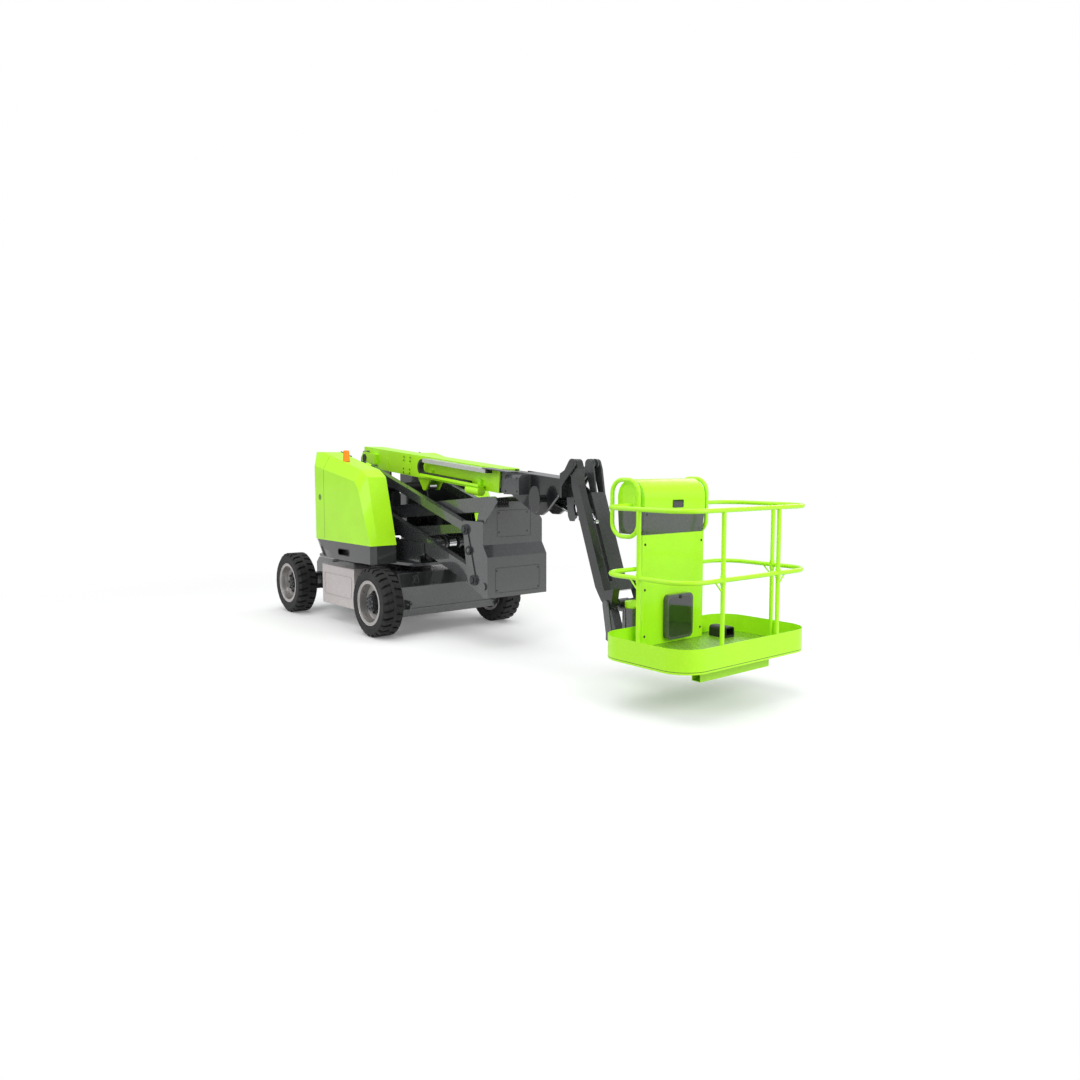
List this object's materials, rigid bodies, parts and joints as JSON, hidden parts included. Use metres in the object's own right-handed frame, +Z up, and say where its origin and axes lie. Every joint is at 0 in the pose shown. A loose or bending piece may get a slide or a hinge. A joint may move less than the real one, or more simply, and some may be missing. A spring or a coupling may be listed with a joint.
{
  "type": "articulating boom lift",
  "caption": "Self-propelled articulating boom lift with a two-stage parallelogram riser, telescopic boom, jib and rotating work platform.",
  "frame": {"origin": "point on the ground under the slewing axis, midway between the axles", "axes": "+X from the slewing axis toward the stowed work platform, +Y to the left, +Z up"},
  "size_m": [6.5126, 1.75, 1.9822],
  "materials": {
    "lime": "gloss",
    "dark": "satin",
    "slate": "gloss",
    "silver": "satin",
    "tread": "matte",
    "steel": "satin",
    "rodchrome": "gloss",
    "iron": "satin",
    "amber": "gloss",
    "black": "matte",
    "smoke": "gloss",
    "grey": "satin"
  },
  "bodies": {
    "chassis": {"chassis_frame": "dark", "slew_ring": "iron", "drive_axle": "iron", "steer_axle": "iron", "battery_boxes": "silver"},
    "steer_knuckle_left": {"knuckle_left": "iron"},
    "steer_knuckle_right": {"knuckle_right": "iron"},
    "wheel_drive_left": {"tyre_drive_left": "tread", "rim_drive_left": "silver", "hub_drive_left": "iron"},
    "wheel_drive_right": {"tyre_drive_right": "tread", "rim_drive_right": "silver", "hub_drive_right": "iron"},
    "wheel_steer_left": {"tyre_steer_left": "tread", "rim_steer_left": "silver", "hub_steer_left": "iron"},
    "wheel_steer_right": {"tyre_steer_right": "tread", "rim_steer_right": "silver", "hub_steer_right": "iron"},
    "turntable": {"turntable_base": "dark", "riser_towers": "dark", "swing_motor": "black", "skirts": "slate", "power_units": "iron"},
    "hood_right": {"hood_right": "lime", "beacon": "amber"},
    "hood_left": {"hood_left": "lime"},
    "lower_link": {"lower_link": "dark"},
    "lower_arm": {"lower_arm": "dark"},
    "mid_pivot": {"mid_pivot": "dark"},
    "upper_arm": {"upper_arm": "dark"},
    "upper_link": {"upper_link": "dark"},
    "upper_pivot": {"upper_pivot": "dark"},
    "riser_barrel": {"riser_barrel": "black"},
    "riser_rod": {"riser_rod": "rodchrome"},
    "main_boom": {"main_boom": "lime", "cable_chain": "black", "chain_tray": "lime"},
    "boom_barrel": {"boom_barrel": "black"},
    "boom_rod": {"boom_rod": "rodchrome"},
    "fly_boom": {"fly_boom": "dark", "chain_cover": "grey"},
    "level_barrel": {"level_barrel": "black"},
    "level_rod": {"level_rod": "rodchrome"},
    "jib_base": {"jib_base": "dark"},
    "jib_arm": {"jib_arm": "dark"},
    "jib_link": {"jib_link": "dark"},
    "jib_barrel": {"jib_barrel": "black"},
    "jib_rod": {"jib_rod": "rodchrome"},
    "platform_support": {"platform_support": "dark"},
    "platform": {"platform_bracket": "lime", "platform_floor": "steel", "toe_board": "lime", "mid_rail": "lime", "top_rail": "lime", "guard_posts": "lime", "console_panel": "lime", "console_body": "smoke", "document_box": "smoke", "pedal_guard": "black"}
  },
  "joints": [
    {"name": "steer_left", "type": "hinge", "parent": "chassis", "child": "steer_knuckle_left", "pos_m": [-1, 0.545, 0.354], "axis": [0, 0, 1], "range_deg": [-30, 30]},
    {"name": "roll_steer_left", "type": "hinge", "parent": "steer_knuckle_left", "child": "wheel_steer_left", "pos_m": [-1, 0.755, 0.354], "axis": [0, 1, 0], "continuous": true},
    {"name": "roll_drive_left", "type": "hinge", "parent": "chassis", "child": "wheel_drive_left", "pos_m": [1, 0.755, 0.354], "axis": [0, 1, 0], "continuous": true},
    {"name": "steer_right", "type": "hinge", "parent": "chassis", "child": "steer_knuckle_right", "pos_m": [-1, -0.545, 0.354], "axis": [0, 0, 1], "range_deg": [-30, 30]},
    {"name": "roll_steer_right", "type": "hinge", "parent": "steer_knuckle_right", "child": "wheel_steer_right", "pos_m": [-1, -0.755, 0.354], "axis": [0, 1, 0], "continuous": true},
    {"name": "roll_drive_right", "type": "hinge", "parent": "chassis", "child": "wheel_drive_right", "pos_m": [1, -0.755, 0.354], "axis": [0, 1, 0], "continuous": true},
    {"name": "slew", "type": "hinge", "parent": "chassis", "child": "turntable", "pos_m": [0, 0, 0.7], "axis": [0, 0, 1], "range_deg": [-177.5, 177.5]},
    {"name": "hood_right_open", "type": "hinge", "parent": "turntable", "child": "hood_right", "pos_m": [-0.22, -0.518, 1.912], "axis": [-0.9763, 0, 0.2162], "range_deg": [0, 60]},
    {"name": "hood_left_open", "type": "hinge", "parent": "turntable", "child": "hood_left", "pos_m": [-0.22, 0.518, 1.912], "axis": [0.9763, 0, -0.2162], "range_deg": [0, 60]},
    {"name": "riser_lift", "type": "hinge", "parent": "turntable", "child": "lower_arm", "pos_m": [0.14953, 0, 1.26324], "axis": [0, -1, 0], "range_deg": [0, 75]},
    {"name": "lower_link_turn", "type": "hinge", "parent": "turntable", "child": "lower_link", "pos_m": [0.01153, 0, 1.74024], "axis": [0, -1, 0], "range_deg": [0, 75]},
    {"name": "mid_level", "type": "hinge", "parent": "lower_arm", "child": "mid_pivot", "pos_m": [2.168, 0, 0.673], "axis": [0, -1, 0], "range_deg": [-75, 0]},
    {"name": "upper_arm_turn", "type": "hinge", "parent": "mid_pivot", "child": "upper_arm", "pos_m": [2.225, 0, 1.4], "axis": [0, -1, 0], "range_deg": [-60, 0]},
    {"name": "upper_link_turn", "type": "hinge", "parent": "mid_pivot", "child": "upper_link", "pos_m": [2.15, 0, 1.172], "axis": [0, -1, 0], "range_deg": [-60, 0]},
    {"name": "upper_level", "type": "hinge", "parent": "upper_arm", "child": "upper_pivot", "pos_m": [-0.33561, 0, 1.18048], "axis": [0, -1, 0], "range_deg": [0, 60]},
    {"name": "riser_ram_swing", "type": "hinge", "parent": "turntable", "child": "riser_barrel", "pos_m": [0, 0, 0.85], "axis": [0, -1, 0], "range_deg": [-0.01, 58.48]},
    {"name": "riser_ram_stroke", "type": "slide", "parent": "riser_barrel", "child": "riser_rod", "axis": [0.9969, 0, 0.0785], "range_m": [0, 0.35256]},
    {"name": "boom_lift", "type": "hinge", "parent": "upper_pivot", "child": "main_boom", "pos_m": [-0.335, 0, 1.85], "axis": [0, -1, 0], "range_deg": [0, 78]},
    {"name": "boom_ram_swing", "type": "hinge", "parent": "upper_pivot", "child": "boom_barrel", "pos_m": [-0.25, 0, 1.495], "axis": [0, -1, 0], "range_deg": [-0.01, 70.36]},
    {"name": "boom_ram_stroke", "type": "slide", "parent": "boom_barrel", "child": "boom_rod", "axis": [0.9991, 0, 0.0416], "range_m": [0, 0.46475]},
    {"name": "boom_extend", "type": "slide", "parent": "main_boom", "child": "fly_boom", "axis": [0.9958, 0, -0.0918], "range_m": [0, 1.85]},
    {"name": "jib_level", "type": "hinge", "parent": "fly_boom", "child": "jib_base", "pos_m": [3.144, 0, 1.578], "axis": [0, -1, 0], "range_deg": [-78, 0]},
    {"name": "level_ram_swing", "type": "hinge", "parent": "fly_boom", "child": "level_barrel", "pos_m": [2.35, 0, 1.64], "axis": [0, -1, 0], "range_deg": [-3.33, 0.01]},
    {"name": "level_ram_stroke", "type": "slide", "parent": "level_barrel", "child": "level_rod", "axis": [0.9423, 0, -0.3348], "range_m": [-0.32728, 0]},
    {"name": "jib_lift", "type": "hinge", "parent": "jib_base", "child": "jib_arm", "pos_m": [3.385, 0, 1.78], "axis": [0, -1, 0], "range_deg": [0, 130]},
    {"name": "jib_link_turn", "type": "hinge", "parent": "jib_base", "child": "jib_link", "pos_m": [3.325, 0, 1.47], "axis": [0, -1, 0], "range_deg": [0, 130]},
    {"name": "platform_level", "type": "hinge", "parent": "jib_arm", "child": "platform_support", "pos_m": [3.807, 0, 0.625], "axis": [0, -1, 0], "range_deg": [-130, 0]},
    {"name": "jib_ram_swing", "type": "hinge", "parent": "jib_base", "child": "jib_barrel", "pos_m": [3.3, -0.084, 1.65], "axis": [0, -1, 0], "range_deg": [-0.01, 114.63]},
    {"name": "jib_ram_stroke", "type": "slide", "parent": "jib_barrel", "child": "jib_rod", "axis": [0.5923, 0, -0.8057], "range_m": [0, 0.28061]},
    {"name": "platform_turn", "type": "hinge", "parent": "platform_support", "child": "platform", "pos_m": [3.94, 0, 0.5], "axis": [0, 0, 1], "range_deg": [-80, 80]}
  ],
  "couplings": [
    {"joint": "steer_left", "follows": "steer_right", "ratio": 1},
    {"joint": "lower_link_turn", "follows": "riser_lift", "ratio": 1},
    {"joint": "mid_level", "follows": "riser_lift", "ratio": -1},
    {"joint": "upper_arm_turn", "follows": "riser_lift", "ratio": -0.79},
    {"joint": "upper_link_turn", "follows": "riser_lift", "ratio": -0.79},
    {"joint": "upper_level", "follows": "riser_lift", "ratio": 0.79},
    {"joint": "riser_ram_swing", "follows": "riser_lift", "ratio": 0.77955},
    {"joint": "riser_ram_stroke", "follows": "riser_lift", "m_per_rad": 0.26926},
    {"joint": "boom_ram_swing", "follows": "boom_lift", "ratio": 0.90195},
    {"joint": "boom_ram_stroke", "follows": "boom_lift", "m_per_rad": 0.34131},
    {"joint": "jib_level", "follows": "boom_lift", "ratio": -1},
    {"joint": "level_ram_swing", "follows": "boom_lift", "ratio": -0.042547},
    {"joint": "level_ram_stroke", "follows": "boom_lift", "m_per_rad": -0.24033},
    {"joint": "jib_link_turn", "follows": "jib_lift", "ratio": 1},
    {"joint": "platform_level", "follows": "jib_lift", "ratio": -1},
    {"joint": "jib_ram_swing", "follows": "jib_lift", "ratio": 0.88172},
    {"joint": "jib_ram_stroke", "follows": "jib_lift", "m_per_rad": 0.12363}
  ]
}
